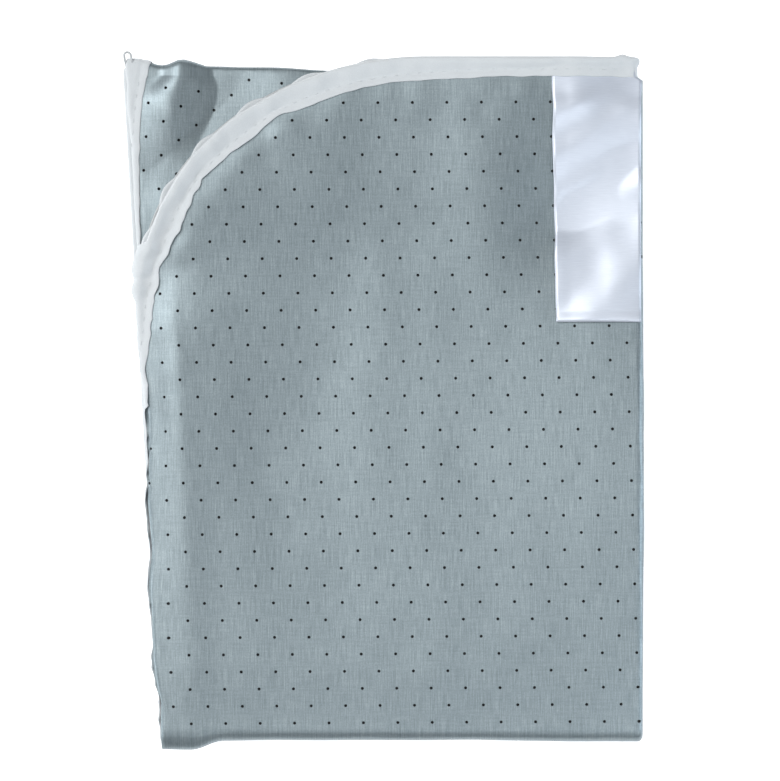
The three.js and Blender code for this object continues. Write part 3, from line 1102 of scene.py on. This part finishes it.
# Label: a satin ribbon under the tail's binding, with a turned hem at its free end
label = {
    "left": 0.0724, "right": 0.1112, "top": 0.1395, "bottom": 0.0319, "cells": (28, 84),
    "thick": 0.25 * mm, "clear": 0.06 * mm, "hem": 3 * mm, "hemStep": 0.4 * mm,
    "sewn": (0.96, 0.86),  # the upper share of it that is held flat
    "seam": 0.1352, "free": 0.1340,  # where it turns from the tail's body to its own
    "taper": 2.0 * mm, "rightIn": 0.3 * mm, "wave": (0.7 * mm, 1, 14 * mm, 1.1), "waveLane": 0.4,
    "rise": 0.6 * mm, "slack": (1.2 * mm, 1, 24 * mm, 4.2),
    "folds": (2.0 * mm, 0.35, 13 * mm, 6.6), "foldWay": (0.86, 0.5),
    "curl": 0.3 * mm, "curlShare": 0.2,
}


def labelSwell(x, y, shareX):
    c, s = label["foldWay"]
    swell = label["rise"] + rippled(label["slack"], x, y)
    swell += rippled(label["folds"], c * y - s * x, c * x + s * y)
    return max(swell + label["curl"] * ease(label["curlShare"], 0, shareX), 0)


def labelPoint(shareX, shareY, width, length):
    x = label["left"] + shareX * width
    y = label["bottom"] + shareY * length
    free = ease(*label["sewn"], shareY)
    x += free * (1 - shareX) * (label["taper"] * (1 - shareY) + rippled(label["wave"], label["waveLane"], y))
    x -= shareX * (label["rightIn"] * free + cornerPull(y))
    reach = max(foldAxis - x, 0)
    under = place("tail", y, foldBend + reach, layers["clothOuter"]).z
    hem = label["thick"] * ease(label["hem"] + label["hemStep"], label["hem"], y - label["bottom"])
    z = under + label["clear"] + label["thick"] + hem + free * labelSwell(x, y, shareX)
    return Vector((x, y, z))


def labelRibbon():
    bm = bmesh.new()
    bmesh.ops.create_grid(bm, x_segments=label["cells"][0], y_segments=label["cells"][1], size=1)
    width = label["right"] - label["left"]
    length = label["top"] - label["bottom"]
    for v in bm.verts:
        v.co = ((v.co.x + 1) / 2 * width, (v.co.y + 1) / 2 * length, 0)
    storeFlat(bm)
    for v in bm.verts:
        v.co = labelPoint(v.co.x / width, v.co.y / length, width, length)
    piece = makePiece("labelRibbon", bm, satin, label["thick"])
    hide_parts("label")
    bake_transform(piece)


labelRibbon()
print("label made")

# Floor, light and camera
studio = {"floor": (0.97, 0.97, 0.97), "floorRough": 0.9, "floorGlow": 0.55, "floorHalf": 4,
          "world": (0.93, 0.96, 1.0), "worldPower": 0.2}
lights = {  # place, power, size, colour
    "keyLight": ((-1.4, 0.5, 4.4), 68, 1.6, (1, 0.99, 0.97)),
    "sideLight": ((-1.7, 0.9, 2.2), 35, 0.8, (1, 1, 1)),
    "fillLight": ((0.45, -0.42, 0.8), 3.0, 0.6, (0.93, 0.97, 1)),
    "rimLight": ((1.5, -0.1, 0.4), 7, 0.6, (0.8, 0.9, 1)),
    "lowLight": ((-1.3, -0.3, 0.3), 6, 0.6, (0.93, 0.97, 1)),
}
view = {"x": 3.01 * mm, "y": 2.42 * mm, "distance": 2.0, "top": 0.02, "across": 0.3354, "sensor": 36}


def areaLight(name, spot, power, size, colour):
    data = bpy.data.lights.new(name, "AREA")
    data.energy = power
    data.size = size
    data.color = colour
    light = bpy.data.objects.new(name, data)
    light.location = spot
    light.rotation_euler = (-Vector(spot)).to_track_quat("-Z", "Y").to_euler()
    scene.collection.objects.link(light)


def paleFloor():
    bm = bmesh.new()
    bmesh.ops.create_grid(bm, x_segments=1, y_segments=1, size=studio["floorHalf"])
    material, _, shader = newMaterial("paleFloor")
    setInputs(shader, {"Base Color": (*studio["floor"], 1), "Roughness": studio["floorRough"],
                       "Emission Color": (1, 1, 1, 1), "Emission Strength": studio["floorGlow"]})
    floor = linkMesh("floor", bm, material)


def studioLight():
    world = bpy.data.worlds.new("studio")
    world.use_nodes = True
    setInputs(world.node_tree.nodes["Background"],
              {"Color": (*studio["world"], 1), "Strength": studio["worldPower"]})
    scene.world = world
    for name, row in lights.items():
        areaLight(name, *row)
    scene.view_settings.view_transform = "Standard"


def topCamera():
    data = bpy.data.cameras.new("camera")
    data.sensor_fit = "HORIZONTAL"
    data.sensor_width = view["sensor"]
    data.lens = view["sensor"] * view["distance"] / view["across"]
    camera = bpy.data.objects.new("camera", data)
    camera.location = (view["x"], view["y"], view["top"] + view["distance"])
    scene.collection.objects.link(camera)
    scene.camera = camera


paleFloor()
studioLight()
topCamera()
print("studio set")
